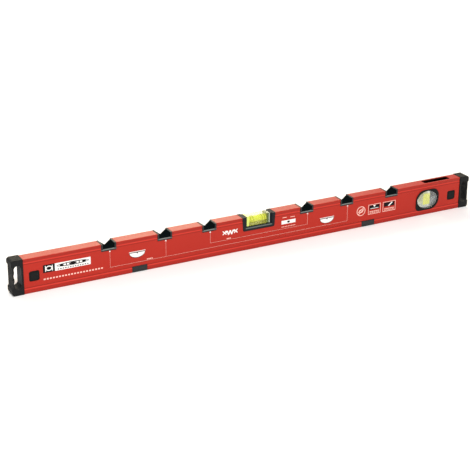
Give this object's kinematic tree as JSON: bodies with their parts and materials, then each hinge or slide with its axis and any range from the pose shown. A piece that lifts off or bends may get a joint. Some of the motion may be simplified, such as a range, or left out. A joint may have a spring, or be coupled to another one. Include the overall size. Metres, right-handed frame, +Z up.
{
  "type": "spirit level",
  "caption": "Box-section spirit level with a level vial, a plumb vial with a sight slot, marking notches along its top edge and latched rubber end caps.",
  "frame": {"origin": "middle of the base, at the middle of the length and of the thickness", "axes": "+X along the level towards its plumb vial, +Z up through the marking notches, -Y the printed face"},
  "size_m": [0.7, 0.0178, 0.0474],
  "materials": {
    "red_paint": "satin red powder coat on aluminium",
    "black_plastic": "moulded, fine texture",
    "white_plastic": "pale moulding behind the plumb vial",
    "print_white": "screen-printed ink",
    "print_faint": "thin screen-printed ink",
    "print_dark": "screen-printed ink",
    "vial_ring": "plain",
    "clear_acrylic": "polished clear",
    "vial_fluid": "clear yellow-green liquid",
    "bubble": "air with a bright rim",
    "rubber": "matt moulded",
    "mirror": "polished"
  },
  "bodies": {
    "level_body": {"rail": "red_paint", "notch_insert_1": "black_plastic", "notch_insert_2": "black_plastic", "notch_insert_3": "black_plastic", "notch_insert_4": "black_plastic", "notch_insert_5": "black_plastic", "notch_insert_6": "black_plastic", "base_insert_left": "black_plastic", "base_insert_right": "black_plastic", "level_vial_frame": "black_plastic", "plumb_bezel_front": "black_plastic", "plumb_bezel_back": "black_plastic", "end_plug_left": "black_plastic", "end_plug_right": "black_plastic", "plumb_housing": "white_plastic", "level_vial_ring_a": "vial_ring", "level_vial_ring_b": "vial_ring", "level_vial_ring_c": "vial_ring", "level_vial_ring_d": "vial_ring", "plumb_vial_ring_a": "vial_ring", "plumb_vial_ring_b": "vial_ring", "level_vial_body": "clear_acrylic", "level_vial_plug": "clear_acrylic", "plumb_vial_body": "clear_acrylic", "plumb_vial_plug": "clear_acrylic", "plumb_lens_front": "clear_acrylic", "plumb_lens_back": "clear_acrylic", "level_vial_fluid": "vial_fluid", "plumb_vial_fluid": "vial_fluid", "end_cap_left": "rubber", "end_cap_right": "rubber", "plumb_mirror": "mirror"},
    "level_bubble": {"level_vial_bubble": "bubble"},
    "plumb_bubble": {"plumb_vial_bubble": "bubble"},
    "latch_left_front": {"latch_left_front": "black_plastic"},
    "latch_left_back": {"latch_left_back": "black_plastic"},
    "latch_right_front": {"latch_right_front": "black_plastic"},
    "latch_right_back": {"latch_right_back": "black_plastic"}
  },
  "joints": [
    {"name": "level_bubble_slide", "type": "slide", "parent": "level_body", "child": "level_bubble", "axis": [1, 0, 0], "range_m": [-0.0075, 0.0075], "stiffness_N_per_m": 0.3},
    {"name": "plumb_bubble_slide", "type": "slide", "parent": "level_body", "child": "plumb_bubble", "axis": [0, 0, 1], "range_m": [-0.0108, 0], "stiffness_N_per_m": 0.3, "springref_m": 0.02},
    {"name": "latch_left_front_press", "type": "hinge", "parent": "level_body", "child": "latch_left_front", "pos_m": [-0.3332, -0.0057, 0.0221], "axis": [0, 0, 1], "range_deg": [0, 7], "stiffness_Nm_per_rad": 0.5},
    {"name": "latch_left_back_press", "type": "hinge", "parent": "level_body", "child": "latch_left_back", "pos_m": [-0.3332, 0.0057, 0.0221], "axis": [0, 0, -1], "range_deg": [0, 7], "stiffness_Nm_per_rad": 0.5},
    {"name": "latch_right_front_press", "type": "hinge", "parent": "level_body", "child": "latch_right_front", "pos_m": [0.3332, -0.0057, 0.0221], "axis": [0, 0, -1], "range_deg": [0, 7], "stiffness_Nm_per_rad": 0.5},
    {"name": "latch_right_back_press", "type": "hinge", "parent": "level_body", "child": "latch_right_back", "pos_m": [0.3332, 0.0057, 0.0221], "axis": [0, 0, 1], "range_deg": [0, 7], "stiffness_Nm_per_rad": 0.5}
  ]
}
